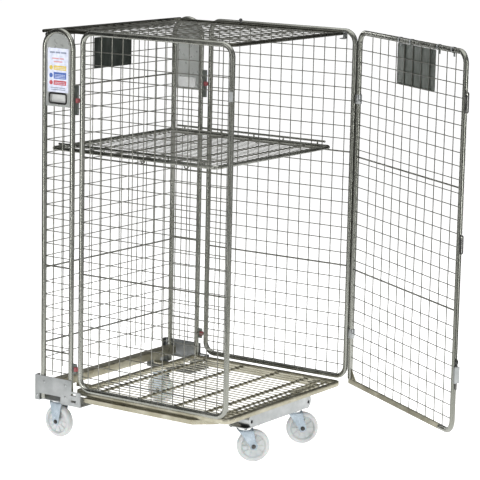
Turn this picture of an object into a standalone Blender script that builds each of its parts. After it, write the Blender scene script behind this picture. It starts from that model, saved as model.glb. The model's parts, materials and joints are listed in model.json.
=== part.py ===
"""Nestable security roll cage: a wheeled base, two fixed end wings, a back, two side panels,
a full-height door, a lid, one shelf and a folding deck. Units are metres, +Z is up, the door
is at -Y. The origin is on the floor, under the middle of the whole outline."""

import math

import bmesh
import bpy
from mathutils import Matrix, Vector

# Driving dimensions
GAP = 0.0003                 # clearance where two pieces touch
TUBE_R = 0.010               # frame tube
WIRE_R = 0.0022              # mesh wire
MESH = 0.050                 # mesh pitch
DECK_BACK = 0.714            # the deck's rear tube, measured back from the front tube
DECK_DROP = 0.0215           # and how far it lies below the panels' bottom tubes
LID_BACK = 0.833
LID_DROP = 0.004             # the lid lies this far below the panels' top tubes
WIDTH = 0.818                # between the tube centres of the two side panels
PANEL_DEPTH = 0.678          # between the tube centres of a side panel
PANEL_HEIGHT = 1.360         # between the bottom and top tube centres
WING_INNER = 0.725           # wing tubes, measured back from the front tube
WING_OUTER = 0.860
BASE_Z = 0.2295              # bottom tube centre of every upright panel
CORNER_R = 0.045             # tube bend
DOOR_OFFSET = 0.0225         # door tubes stand this far in front of the panel tubes
DOOR_OPEN = math.radians(58.7)
WHEEL_R = 0.0625
WHEEL_W = 0.034
PLATE = 0.003                # steel plate
GUSSET = 0.045               # in the door's square bottom corner
SLEEVE_R = 0.0133            # outside of the door's hinge sleeves
CATCHES = (("top", 1.215, 0.066), ("middle", 0.706, 0.060))    # stud height and loop length
CATCH_OUT = 0.0161           # the loops' plane, outboard of the free tube's centre

HALF = WIDTH / 2
BRACKET_LOW = BASE_Z - 0.070
RAIL_BACK = 0.807            # front face of the rear rail
BRACKET_FRONT = 0.668        # front edge of the corner brackets
BRACKET_BACK = 0.892         # rear edge of the corner brackets, from the front tube
CASTOR_BACK = 0.845          # the rear castors' stems
GUIDE_EDGE = 0.0223          # outer edge of the bolt guide, from the door's free tube
GUIDE_HALF = 0.010
DOOR_REACH = (DOOR_OFFSET + (WIDTH + GUIDE_EDGE) * math.sin(DOOR_OPEN)
              + GUIDE_HALF * math.cos(DOOR_OPEN))
FRONT = -(CASTOR_BACK + WHEEL_R - DOOR_REACH) / 2
TOP_Z = BASE_Z + PANEL_HEIGHT
HINGE_Y = FRONT + (WING_INNER + PANEL_DEPTH) / 2

X, Y, Z = Vector((1, 0, 0)), Vector((0, 1, 0)), Vector((0, 0, 1))

for old in list(bpy.data.objects):
    bpy.data.objects.remove(old)
parts = bpy.data.collections.new("roll_cage")
cutters = bpy.data.collections.new("cutters")
bpy.context.scene.collection.children.link(parts)
bpy.context.scene.collection.children.link(cutters)


def material(name, colour, metallic, roughness):
    made = bpy.data.materials.new(name)
    made.use_nodes = True
    shader = made.node_tree.nodes["Principled BSDF"]
    shader.inputs["Base Color"].default_value = (*colour, 1)
    shader.inputs["Metallic"].default_value = metallic
    shader.inputs["Roughness"].default_value = roughness
    return made


ZINC = material("zinc_tube", (0.42, 0.42, 0.38), 1.0, 0.35)
WIRE = material("zinc_wire", (0.50, 0.50, 0.47), 1.0, 0.40)
OLIVE = material("yellow_passivate", (0.48, 0.45, 0.30), 1.0, 0.42)
SHEET = material("zinc_sheet", (0.62, 0.64, 0.66), 1.0, 0.38)
NYLON = material("white_nylon", (0.85, 0.86, 0.85), 0.0, 0.35)
STEEL = material("bolt_steel", (0.30, 0.31, 0.33), 1.0, 0.30)
WHITE = material("painted_label", (0.88, 0.88, 0.90), 0.0, 0.45)
RED = material("plum_bush", (0.30, 0.06, 0.08), 0.0, 0.45)


def keep(obj, mat, pivot=None):
    """Puts a finished object in the model, with its material and its moving parent."""
    for owner in list(obj.users_collection):
        owner.objects.unlink(obj)
    parts.objects.link(obj)
    obj.data.materials.clear()
    obj.data.materials.append(mat)
    if pivot:
        obj.parent = pivot
        obj.matrix_parent_inverse = pivot.matrix_world.inverted()
    return obj


def pivot(name, where, parent=None):
    """An empty on a joint's axis."""
    empty = bpy.data.objects.new(name, None)
    empty.location = where
    parts.objects.link(empty)
    if parent:
        empty.parent = parent
        empty.matrix_parent_inverse = parent.matrix_world.inverted()
    bpy.context.view_layer.update()
    return empty


def face(origin, across, up):
    """The matrix that lays a flat outline's x on across and its y on up."""
    normal = across.cross(up)
    basis = Matrix((across, up, normal)).transposed().to_4x4()
    return Matrix.Translation(origin) @ basis


def rounded(corners, steps=4):
    """Points of an outline of (x, y, radius) corners, with its round corners as arcs."""
    points = []
    for i, (x, y, radius) in enumerate(corners):
        here = Vector((x, y))
        if not radius:
            points.append(here)
            continue
        back = (Vector(corners[i - 1][:2]) - here).normalized()
        on = (Vector(corners[(i + 1) % len(corners)][:2]) - here).normalized()
        half_angle = back.angle(on) / 2
        middle = here + (back + on).normalized() * radius / math.sin(half_angle)
        start = here + back * radius / math.tan(half_angle) - middle
        turn = start.angle_signed(here + on * radius / math.tan(half_angle) - middle)
        for step in range(steps + 1):
            spin = Matrix.Rotation(-turn * step / steps, 2)
            points.append(middle + spin @ start)
    return [p for i, p in enumerate(points) if (p - points[i - 1]).length > 1e-4]


def tube(name, points, radius, mat, moves=None, cyclic=False, fine=2):
    """A tube or rod along points, as a curve with a bevel."""
    curve = bpy.data.curves.new(name, "CURVE")
    curve.dimensions = "3D"
    curve.bevel_depth = radius
    curve.bevel_resolution = fine
    curve.use_fill_caps = True
    spline = curve.splines.new("POLY")
    spline.points.add(len(points) - 1)
    for point, place in zip(spline.points, points):
        point.co = (*place, 1)
    spline.use_cyclic_u = cyclic
    spline.use_smooth = True
    return keep(bpy.data.objects.new(name, curve), mat, moves)


def plate(name, outlines, thickness, matrix, mat, moves=None):
    """A flat piece with an outer outline and any holes, thickness to both sides of its plane."""
    curve = bpy.data.curves.new(name, "CURVE")
    curve.dimensions = "2D"
    curve.fill_mode = "BOTH"
    curve.extrude = thickness / 2
    for outline in outlines:
        spline = curve.splines.new("POLY")
        spline.points.add(len(outline) - 1)
        for point, place in zip(spline.points, outline):
            point.co = (place[0], place[1], 0, 1)
        spline.use_cyclic_u = True
    obj = bpy.data.objects.new(name, curve)
    obj.matrix_world = matrix
    return keep(obj, mat, moves)


def box(name, low, high, mat, moves=None, bevel=0.0):
    low, high = Vector(low), Vector(high)
    mesh = bpy.data.meshes.new(name)
    cage = bmesh.new()
    size = Matrix.Diagonal((*(high - low), 1))
    bmesh.ops.create_cube(cage, size=1, matrix=Matrix.Translation((low + high) / 2) @ size)
    cage.to_mesh(mesh)
    cage.free()
    obj = bpy.data.objects.new(name, mesh)
    if bevel:
        soften = obj.modifiers.new("soft_edges", "BEVEL")
        soften.width = bevel
        soften.segments = 2
    return keep(obj, mat, moves)


def rod(name, start, end, radius, mat, moves=None, sides=16):
    """A straight round bar, from a cone primitive with equal ends."""
    start, end = Vector(start), Vector(end)
    mesh = bpy.data.meshes.new(name)
    cage = bmesh.new()
    turn = (end - start).to_track_quat("Z", "Y").to_matrix().to_4x4()
    bmesh.ops.create_cone(cage, cap_ends=True, segments=sides, radius1=radius, radius2=radius,
                          depth=(end - start).length,
                          matrix=Matrix.Translation((start + end) / 2) @ turn)
    cage.to_mesh(mesh)
    cage.free()
    return keep(bpy.data.objects.new(name, mesh), mat, moves)


def cut(obj, *tools):
    """Takes each tool out of obj. The tools go with the cutters."""
    for tool in tools:
        parts.objects.unlink(tool)
        cutters.objects.link(tool)
        tool.hide_render = True
        tool.display_type = "WIRE"
        if obj.parent:
            tool.parent = obj.parent
            tool.matrix_parent_inverse = obj.parent.matrix_world.inverted()
        bite = obj.modifiers.new("cut_" + tool.name, "BOOLEAN")
        bite.operation = "DIFFERENCE"
        bite.object = tool
    return obj


def join(obj, *others):
    """Welds the others to obj as one body."""
    for other in others:
        cut(obj, other)
        obj.modifiers[-1].operation = "UNION"
    return obj


def mesh_of(obj):
    """The mesh object that a curve makes, for a piece that is cut or joined."""
    bpy.context.view_layer.update()
    axis = obj.parent
    graph = bpy.context.evaluated_depsgraph_get()
    mesh = bpy.data.meshes.new_from_object(obj.evaluated_get(graph))
    cage = bmesh.new()
    cage.from_mesh(mesh)
    bmesh.ops.remove_doubles(cage, verts=cage.verts, dist=1e-5)
    cage.to_mesh(mesh)
    cage.free()
    name, mat = obj.name, obj.data.materials[0]
    made = bpy.data.objects.new("mesh_of_" + name, mesh)
    made.matrix_world = obj.matrix_world
    bpy.data.objects.remove(obj)
    made.name = name
    return keep(made, mat, axis)


def grille(name, size, bars, matrix, mat, moves=None, corner=0.0, first=None):
    """A flat welded grille inside a frame: an edge bar all round, and bars at given distances.
    size is (width, height), bars is (distances across, distances up, bar half-width), corner is
    the bend of its corners, and first that of the one nearest its own zero if it differs."""
    across, up, half = bars
    edge = 2 * half

    def radius(i, j, inset):
        bend = first if first and not i and not j else corner
        return max(bend - inset, 0.004) if bend else 0

    def outline(inset):
        low, right, top = inset, size[0] - inset, size[1] - inset
        return [(low, low, radius(0, 0, inset)), (right, low, radius(1, 0, inset)),
                (right, top, radius(1, 1, inset)), (low, top, radius(0, 1, inset))]

    columns = [edge - half, *across, size[0] - edge + half]
    rows = [edge - half, *up, size[1] - edge + half]
    loops = [rounded(outline(0))]
    for i in range(len(columns) - 1):
        for j in range(len(rows) - 1):
            left, right = columns[i] + half, columns[i + 1] - half
            low, high = rows[j] + half, rows[j + 1] - half
            ends = (i == 0, i == len(columns) - 2)
            lows = (j == 0, j == len(rows) - 2)
            corners = []
            for x, y, ci, cj in ((left, low, 0, 0), (right, low, 1, 0),
                                 (right, high, 1, 1), (left, high, 0, 1)):
                at_corner = ends[ci] and lows[cj]
                corners.append((x, y, radius(ci, cj, edge) if at_corner else 0))
            loops.append(rounded(corners, 2)[::-1])
    return plate(name, loops, 2 * WIRE_R, matrix, mat, moves)


def every(first, step, count):
    return [first + step * i for i in range(count)]


INSIDE = TUBE_R + GAP        # from a frame tube's centre to what stands inside it


def side_panel(side, name):
    """A side panel, hinged on its wing. side is -1 on the left and 1 on the right."""
    x = side * HALF
    axis = pivot(name + "_hinge", (x, HINGE_Y, BASE_Z))
    outline = rounded([(0, 0, CORNER_R), (PANEL_DEPTH, 0, CORNER_R),
                       (PANEL_DEPTH, PANEL_HEIGHT, CORNER_R), (0, PANEL_HEIGHT, CORNER_R)])
    tube(name + "_frame", [(x, FRONT + p.x, BASE_Z + p.y) for p in outline], TUBE_R, ZINC, axis,
         cyclic=True)
    size = (PANEL_DEPTH - 2 * INSIDE, PANEL_HEIGHT - 2 * INSIDE)
    grille(name + "_mesh", size,
           (every(3 * MESH - INSIDE, 3 * MESH, 4), every(3 * MESH - INSIDE, 3 * MESH, 8), WIRE_R),
           face((x, FRONT + INSIDE, BASE_Z + INSIDE), Y, Z), WIRE, axis, CORNER_R - INSIDE)
    return axis


def panel_hinges(side, name):
    """Hinge straps on the wing tube, with the bushes that the panel turns in."""
    x = side * HALF
    wing = FRONT + WING_INNER - TUBE_R - GAP
    panel = FRONT + PANEL_DEPTH + TUBE_R + GAP
    for place, low, high in (("upper", 1.050, 1.160), ("lower", 0.055, 0.095)):
        middle = BASE_Z + (low + high) / 2
        height = (high - low) / 2
        strap = box(f"{name}_{place}_hinge", (x - 0.004, HINGE_Y - 0.004, middle - height),
                    (x + 0.004, wing, middle + height), OLIVE)
        cut(strap, box(f"cut_{name}_{place}", (x - 0.02, HINGE_Y - 0.02, middle - 0.009),
                       (x + 0.02, HINGE_Y + 0.0085, middle + 0.009), OLIVE))
        bush = rod(f"{name}_{place}_bush", (x, HINGE_Y, middle - 0.0085),
                   (x, HINGE_Y, middle + 0.0085), 0.008, RED,
                   bpy.data.objects[f"{name}_hinge"], 12)
        arm = box(f"arm_{name}_{place}", (x - 0.003, panel, middle - 0.006),
                  (x + 0.003, HINGE_Y, middle + 0.006), RED)
        join(bush, arm)


def wing(side, name):
    """A fixed end wing: an arched tube, its mesh, and a head plate with a hand slot."""
    x = side * HALF
    width = WING_OUTER - WING_INNER
    foot, mesh_low = -0.062, 0.035
    arch = rounded([(WING_INNER, foot, 0), (WING_OUTER, foot, 0),
                    (WING_OUTER, PANEL_HEIGHT, width / 2 - 1e-5),
                    (WING_INNER, PANEL_HEIGHT, width / 2 - 1e-5)], 6)
    order = arch[1:] + arch[:1]
    tube(name + "_frame", [(x, FRONT + p.x, BASE_Z + p.y) for p in order], TUBE_R, ZINC)
    low, high = 1.075, PANEL_HEIGHT - INSIDE
    inside = width - 2 * INSIDE
    slot = rounded([(0.016, 0.012, 0.008), (inside - 0.016, 0.012, 0.008),
                    (inside - 0.016, 0.050, 0.008), (0.016, 0.050, 0.008)], 2)
    head = rounded([(0, 0, 0), (inside, 0, 0), (inside, high - low, inside / 2 - 1e-5),
                    (0, high - low, inside / 2 - 1e-5)], 6)
    at = face((x + side * 0.004, FRONT + WING_INNER + INSIDE, BASE_Z + low), Y, Z)
    plate(name + "_head_plate", [head, slot[::-1]], 0.002, at, WHITE)
    rows = every(3 * MESH - mesh_low, 3 * MESH, 6)
    columns = [inside / 3, inside * 2 / 3]
    grille(name + "_mesh", (inside, low - mesh_low - 0.002), (columns, rows, WIRE_R),
           face((x, FRONT + WING_INNER + INSIDE, BASE_Z + mesh_low), Y, Z), WIRE)


def back_panel():
    """The fixed back, between the wings' outer tubes, with its name plate."""
    y = FRONT + WING_OUTER
    low, high = 0.040, PANEL_HEIGHT - 0.030
    left = -HALF + INSIDE
    grille("back_mesh", (WIDTH - 2 * INSIDE, high - low),
           (every(WIDTH / 7 - INSIDE, WIDTH / 7, 6), every(3 * MESH - low, 3 * MESH, 8), WIRE_R),
           face((left, y, BASE_Z + low), X, Z), WIRE)
    top = BASE_Z + high + TUBE_R + GAP
    bar = rod("back_top_tube", (left, y, top), (-left, y, top), TUBE_R * 0.8, ZINC, sides=12)
    for side in (-1, 1):
        x = side * 0.2
        saddle(bar, f"lid_saddle_{side}", (x, FRONT + LID_BACK, TOP_Z - LID_DROP), 0.0073, 0.003)
        join(bar, box(f"lid_arm_{side}", (x - 0.015, FRONT + LID_BACK - 0.003, top),
                      (x + 0.015, y, TOP_Z - LID_DROP - 0.0078), ZINC))
    wide, tall = 0.234, 0.120
    plate("back_name_plate", [rounded([(0, 0, 0.004), (wide, 0, 0.004), (wide, tall, 0.004),
                                       (0, tall, 0.004)], 2)], 0.0015,
          face((-wide / 2, y - WIRE_R - 0.0012, BASE_Z + 1.192), X, Z), SHEET)


def base_frame():
    """Front crossbar, side rails, rear rail and the two corner brackets."""
    face_y = FRONT + 0.030
    ends = 0.212
    low, high = BASE_Z - 0.085, BASE_Z - 0.030
    nose = (high - low) / 2 - 1e-5
    bar = rounded([(-ends, 0, nose), (ends, 0, nose), (ends, high - low, nose),
                   (-ends, high - low, nose)], 4)
    channel = mesh_of(plate("front_crossbar", [bar], 0.050, face((0, face_y + 0.025, low), X, Z),
                            SHEET))
    hollow = box("cut_crossbar", (-ends + 0.03, face_y + PLATE, low - 0.01),
                 (ends - 0.03, face_y + 0.06, high - PLATE), SHEET)
    holes = [rod(f"cut_hole_{side}", (side * (ends - 0.018), face_y - 0.02, low + 0.022),
                 (side * (ends - 0.018), face_y + 0.08, low + 0.022), 0.007, SHEET)
             for side in (-1, 1)]
    cut(channel, hollow, *holes)
    for side, name in ((-1, "left"), (1, "right")):
        # The rail runs along the side, then turns in to meet the crossbar.
        x = side * (HALF - 0.014)
        meets = face_y + 0.0635
        route = [(side * (ends - 0.028), meets), (x - side * 0.06, meets),
                 (x, meets + 0.063), (x, FRONT + BRACKET_FRONT - 0.003)]
        plate(f"{name}_side_rail", [offset_strip(route, 0.026)], 0.018,
              face((0, 0, BASE_Z - 0.0412), X, Y), OLIVE)
        corner_bracket(side, name)
    rear = box("rear_rail", (-HALF + 0.030, FRONT + RAIL_BACK, BASE_Z - 0.040),
               (HALF - 0.030, FRONT + RAIL_BACK + 0.042, BASE_Z + 0.012), OLIVE)
    cut(rear, box("cut_rear_rail", (-HALF, FRONT + RAIL_BACK + PLATE, BASE_Z - 0.05),
                  (HALF, FRONT + WING_OUTER, BASE_Z + 0.009), OLIVE))
    for side in (-1, 1):
        x = side * 0.25
        saddle(rear, f"deck_saddle_{side}", (x, FRONT + DECK_BACK, BASE_Z - DECK_DROP), 0.0098, 0.001)
        join(rear, box(f"deck_arm_{side}", (x - 0.02, FRONT + DECK_BACK + 0.0102, BASE_Z - 0.0345),
                       (x + 0.02, FRONT + RAIL_BACK + 0.0015, BASE_Z - 0.0295), OLIVE))


def saddle(obj, name, centre, bore, below):
    """Welds to obj a half bearing that a frame tube along X lies and turns in."""
    x, y, z = centre
    wall = bore + 0.0037
    join(obj, rod(name, (x - 0.02, y, z), (x + 0.02, y, z), wall, OLIVE))
    cut(obj, rod(name + "_bore", (x - 0.03, y, z), (x + 0.03, y, z), bore, OLIVE),
        box(name + "_top", (x - 0.03, y - 0.03, z - below), (x + 0.03, y + 0.0102, z + 0.03), OLIVE))


def offset_strip(route, width):
    """The outline of a flat bar of this width along a route of 2D points."""
    sides = ([], [])
    points = [Vector(p) for p in route]
    for i, point in enumerate(points):
        back = (point - points[i - 1]).normalized() if i else None
        on = (points[i + 1] - point).normalized() if i < len(points) - 1 else None
        along = ((back or on) + (on or back)).normalized()
        normal = Vector((-along.y, along.x))
        stretch = 1 / max(normal.dot(Vector((-(on or back).y, (on or back).x))), 0.3)
        sides[0].append(point + normal * width / 2 * stretch)
        sides[1].append(point - normal * width / 2 * stretch)
    return sides[0] + sides[1][::-1]


def corner_bracket(side, name):
    """A folded rear corner plate that carries the wing tubes and a fixed castor."""
    outer = HALF + TUBE_R + PLATE + GAP
    low, high = BRACKET_LOW, BASE_Z + 0.030
    x0, x1 = sorted((side * outer, side * (outer - 0.130)))
    block = box(f"{name}_corner_bracket", (x0, FRONT + BRACKET_FRONT, low),
                (x1, FRONT + BRACKET_BACK, high), SHEET)
    inner0, inner1 = sorted((side * (outer - PLATE), side * (outer - 0.15)))
    tools = [box(f"cut_bracket_{name}", (inner0, FRONT + 0.66, low + PLATE),
                 (inner1, FRONT + BRACKET_BACK - PLATE, high + 0.01), SHEET)]
    wall0, wall1 = sorted((side * (outer - 0.02), side * (outer + 0.02)))
    # The front corner is notched, so that the side panel's bottom tube swings clear.
    tools.append(box(f"cut_notch_{name}", (wall0, FRONT + 0.66, BASE_Z - 0.012),
                     (wall1, HINGE_Y + 0.0105, high + 0.01), SHEET))
    for z in (low + 0.016, low + 0.042):
        tools.append(box(f"cut_slot_{name}_{z:.3f}", (wall0, FRONT + 0.690, z),
                         (wall1, FRONT + 0.715, z + 0.008), SHEET))
    tools.append(box(f"cut_mouth_{name}", (wall0, FRONT + 0.765, low - 0.01),
                     (wall1, FRONT + 0.870, low + 0.028), SHEET))
    # The rear lip stops short of the rear rail's middle.
    lip0, lip1 = sorted((side * (outer - 0.03), side * (outer - 0.15)))
    tools.append(box(f"cut_lip_{name}", (lip0, FRONT + BRACKET_BACK - PLATE - 0.006, low + 0.02),
                     (lip1, FRONT + BRACKET_BACK + 0.01, high + 0.01), SHEET))
    cut(block, *tools)


def wheel(name, centre, moves):
    """A nylon wheel with a wide hub, turned about the axle, and its axle bolt."""
    rings = [(0.0075, WHEEL_W / 2 + 0.002), (0.017, WHEEL_W / 2 + 0.002), (0.022, WHEEL_W / 2 - 0.006),
             (WHEEL_R - 0.014, WHEEL_W / 2 - 0.006), (WHEEL_R - 0.006, WHEEL_W / 2 - 0.001),
             (WHEEL_R, WHEEL_W / 4)]
    profile = rings + [(r, -h) for r, h in rings[::-1]]
    mesh = bpy.data.meshes.new(name + "_wheel")
    mesh.from_pydata([(h, 0, r) for r, h in profile], [(i, (i + 1) % len(profile))
                                                       for i in range(len(profile))], [])
    obj = bpy.data.objects.new(name + "_wheel", mesh)
    spin = obj.modifiers.new("turned", "SCREW")
    spin.axis = "X"
    spin.steps = 24
    spin.render_steps = 24
    spin.use_merge_vertices = True
    spin.merge_threshold = 0.00001
    spin.use_normal_calculate = True
    obj.location = centre
    return keep(obj, NYLON, moves)


def castor(name, stem, trail, turn, swivels):
    """A castor under stem, the middle of its top plate. Its wheel trails by trail towards -Y,
    and the whole castor is then turned by turn about the stem."""
    x, y, top = stem
    axle = (x, y - trail, WHEEL_R)
    side = WHEEL_W / 2 + 0.0035
    head = pivot(name + "_swivel", (x, y, WHEEL_R))
    top_plate = plate(name + "_plate", [rounded([(-0.05, -0.0425, 0.008), (0.05, -0.0425, 0.008),
                                                 (0.05, 0.0425, 0.008), (-0.05, 0.0425, 0.008)], 2)],
                      PLATE, face((x, y, top - PLATE / 2 - GAP), X, Y), SHEET)
    crown_top = top - PLATE - 2 * GAP
    crown = rod(name + "_fork", (x, y, crown_top - 0.012), (x, y, crown_top), 0.030, SHEET, head, 20)
    for leg in (-1, 1):
        cheek = rounded([(-0.026, crown_top - 0.006, 0.004), (-trail - 0.014, WHEEL_R - 0.014, 0.013),
                         (-trail + 0.014, WHEEL_R - 0.014, 0.013), (0.026, crown_top - 0.006, 0.004)], 3)
        flat = mesh_of(plate(f"{name}_leg_{leg}", [cheek], PLATE,
                             face((x + leg * (side + PLATE / 2), y, 0), Y, Z), SHEET))
        join(crown, flat)
    bridge = box(f"{name}_bridge", (x - side - PLATE, y - 0.024, crown_top - 0.009),
                 (x + side + PLATE, y + 0.024, crown_top - 0.006), SHEET)
    join(crown, bridge)
    if not swivels:
        neck = rod(f"{name}_neck", (x, y, crown_top - 0.004), (x, y, top - 0.002), 0.02, SHEET)
        join(crown, mesh_of(top_plate), neck)
    holes = rod(f"cut_{name}_axle", (x - 0.05, *axle[1:]), (x + 0.05, *axle[1:]), 0.0058, SHEET)
    cut(crown, holes)
    wheel(name, axle, head)
    rod(name + "_axle", (x - side - PLATE - 0.004, *axle[1:]), (x + side + PLATE + 0.004, *axle[1:]),
        0.0055, STEEL, head, 12)
    head.rotation_euler.z = turn if swivels else 0


def deck():
    """The folding deck: a tube frame on rear hinges, with its grille."""
    half, back, front = HALF - 0.0265, DECK_BACK, 0.014
    z = BASE_Z - DECK_DROP
    axis = pivot("deck_hinge", (0, FRONT + back, z))
    outline = rounded([(-half, front, 0.02), (half, front, 0.02), (half, back, 0.02),
                       (-half, back, 0.02)])
    tube("deck_frame", [(p.x, FRONT + p.y, z) for p in outline], 0.0095, OLIVE, axis, cyclic=True)
    inset = 0.0095 + GAP
    size = (2 * half - 2 * inset, back - front - 2 * inset)
    grille("deck_mesh", size, (every(size[0] / 8, size[0] / 8, 7),
                               [y - front - inset for y in (0.150, 0.290, 0.460)], 0.0025),
           face((-half + inset, FRONT + front + inset, z + 0.004), X, Y), OLIVE, axis, 0.01)


def lid():
    """The hinged mesh lid, with its knob and front catch."""
    half, back, front = HALF - 0.0305, LID_BACK, 0.024
    z = TOP_Z - LID_DROP
    axis = pivot("lid_hinge", (0, FRONT + back, z))
    outline = rounded([(-half, front, 0.03), (half, front, 0.03), (half, back, 0.03),
                       (-half, back, 0.03)])
    tube("lid_frame", [(p.x, FRONT + p.y, z) for p in outline], 0.007, ZINC, axis, cyclic=True)
    inset = 0.007 + GAP
    size = (2 * half - 2 * inset, back - front - 2 * inset)
    bars = (every(size[0] / 5, size[0] / 5, 4), every(size[1] / 6, size[1] / 6, 5), WIRE_R)
    grille("lid_mesh", size, bars,
           face((-half + inset, FRONT + front + inset, z), X, Y), WIRE, axis, 0.03 - inset)
    knob_y = FRONT + 0.515
    stem = rod("lid_knob", (half, knob_y, z + 0.007 + GAP), (half, knob_y, z + 0.020), 0.003, STEEL,
               axis, 12)
    join(stem, rod("lid_knob_top", (half, knob_y, z + 0.014), (half, knob_y, z + 0.024), 0.007, STEEL))
    clip = box("lid_catch", (half - 0.034, FRONT + front - 0.0125, z - 0.022),
               (half - 0.010, FRONT + front - 0.0075, z + 0.006), SHEET, axis)
    join(clip, box("lid_catch_hook", (half - 0.034, FRONT + front - 0.0125, z - 0.022),
                   (half - 0.010, FRONT + front + 0.008, z - 0.018), SHEET))


def shelf():
    """The lift-out shelf, which hooks over the side panels' upper rods."""
    half, back, front = HALF - 0.0305, 0.843, 0.085
    z = BASE_Z + 0.910
    axis = pivot("shelf_lift", (0, FRONT + (back + front) / 2, z))
    outline = rounded([(-half, front, 0.012), (half, front, 0.012), (half, back, 0.012),
                       (-half, back, 0.012)])
    frame = tube("shelf_frame", [(p.x, FRONT + p.y, z) for p in outline], 0.006, ZINC, axis, cyclic=True)
    frame = mesh_of(frame)
    inset = 0.006 + GAP
    size = (2 * half - 2 * inset, back - front - 2 * inset)
    grille("shelf_mesh", size, (every(size[0] / 8, size[0] / 8, 7),
                                [y - front - inset for y in (0.190, 0.300, 0.440, 0.575, 0.710)], WIRE_R),
           face((-half + inset, FRONT + front + inset, z), X, Y), WIRE, axis, 0.008)
    lip = 0.024
    for side in (-1, 1):
        x = side * half
        ends = (x, FRONT + front + 0.03, z + lip), (x, FRONT + 0.655, z + lip)
        join(frame, rod(f"lip_{side}", *ends, 0.003, WIRE, None, 8))
        for y in (0.14, 0.36, 0.60):
            join(frame, rod(f"post_{side}_{y}", (x, FRONT + y, z), (x, FRONT + y, z + lip), 0.0028, WIRE,
                            None, 8))


def door_place(u, out=0.0):
    """A point on the closed door: u from its hinge tube, out towards the front."""
    return Vector((HALF - u, FRONT - DOOR_OFFSET - out, 0))


def door(panel_axis):
    """The full-height door, hinged on the right side panel, shown partly open."""
    centre = door_place(0) + Z * BASE_Z
    axis = pivot("door_hinge", centre, panel_axis)
    bottom = -0.012
    path = rounded([(0, bottom + 0.0105, 0), (0, PANEL_HEIGHT, CORNER_R),
                    (WIDTH, PANEL_HEIGHT, CORNER_R), (WIDTH, bottom, CORNER_R),
                    (WIDTH - 0.09, bottom, 0), (0.4, 0.4, 0)])[:-1]
    frame = [door_place(p.x) + Z * (BASE_Z + p.y) for p in path]
    frame = mesh_of(tube("door_frame", frame, TUBE_R, ZINC, axis))
    for name, z, _ in CATCHES:
        stud = door_place(WIDTH) + Z * (BASE_Z + z)
        join(frame, rod(f"stud_{name}", stud - X * 0.006, stud - X * (CATCH_OUT + 0.0045), 0.0018, STEEL,
                        None, 8),
             rod(f"stud_head_{name}", stud - X * (CATCH_OUT + 0.003), stud - X * (CATCH_OUT + 0.005),
                 0.005, STEEL, None, 10))
    rail = box("door_bottom_rail", door_place(WIDTH - 0.0903, 0.004) + Z * (BASE_Z + bottom - 0.010),
               door_place(-0.008, -0.004) + Z * (BASE_Z + bottom + 0.010), OLIVE, axis)
    corner = [(0, 0), (GUSSET, 0), (0, GUSSET)]
    gusset = mesh_of(plate("door_gusset", [corner], 0.004,
                           face(door_place(INSIDE) + Z * (BASE_Z + bottom + 0.006), -X, Z), OLIVE))
    join(rail, gusset)
    # The mesh also keeps clear of the two sleeves on the hinge tube.
    near = SLEEVE_R + 0.0004
    size = (WIDTH - INSIDE - near, PANEL_HEIGHT - bottom - 2 * INSIDE - 0.0005)
    base = bottom + INSIDE + 0.0005
    columns = [WIDTH * (k + 0.3) / 6.3 - near for k in range(1, 6)]
    rows = [r - base for r in (0.142, 0.287, 0.437, 0.586, 0.734, 0.880, 1.022, 1.184)]
    grille("door_mesh", size, (columns, rows, WIRE_R),
           face(door_place(near) + Z * (BASE_Z + base), -X, Z), WIRE, axis, CORNER_R - INSIDE,
           GUSSET + 0.035)
    wide, tall = 0.290, 0.150
    plate("door_name_plate", [rounded([(0, 0, 0.004), (wide, 0, 0.004), (wide, tall, 0.004),
                                       (0, tall, 0.004)], 2)], 0.0015,
          face(door_place(0.592, WIRE_R + 0.0012) + Z * (BASE_Z + 1.198), X, Z), SHEET, axis)
    return axis


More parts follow.
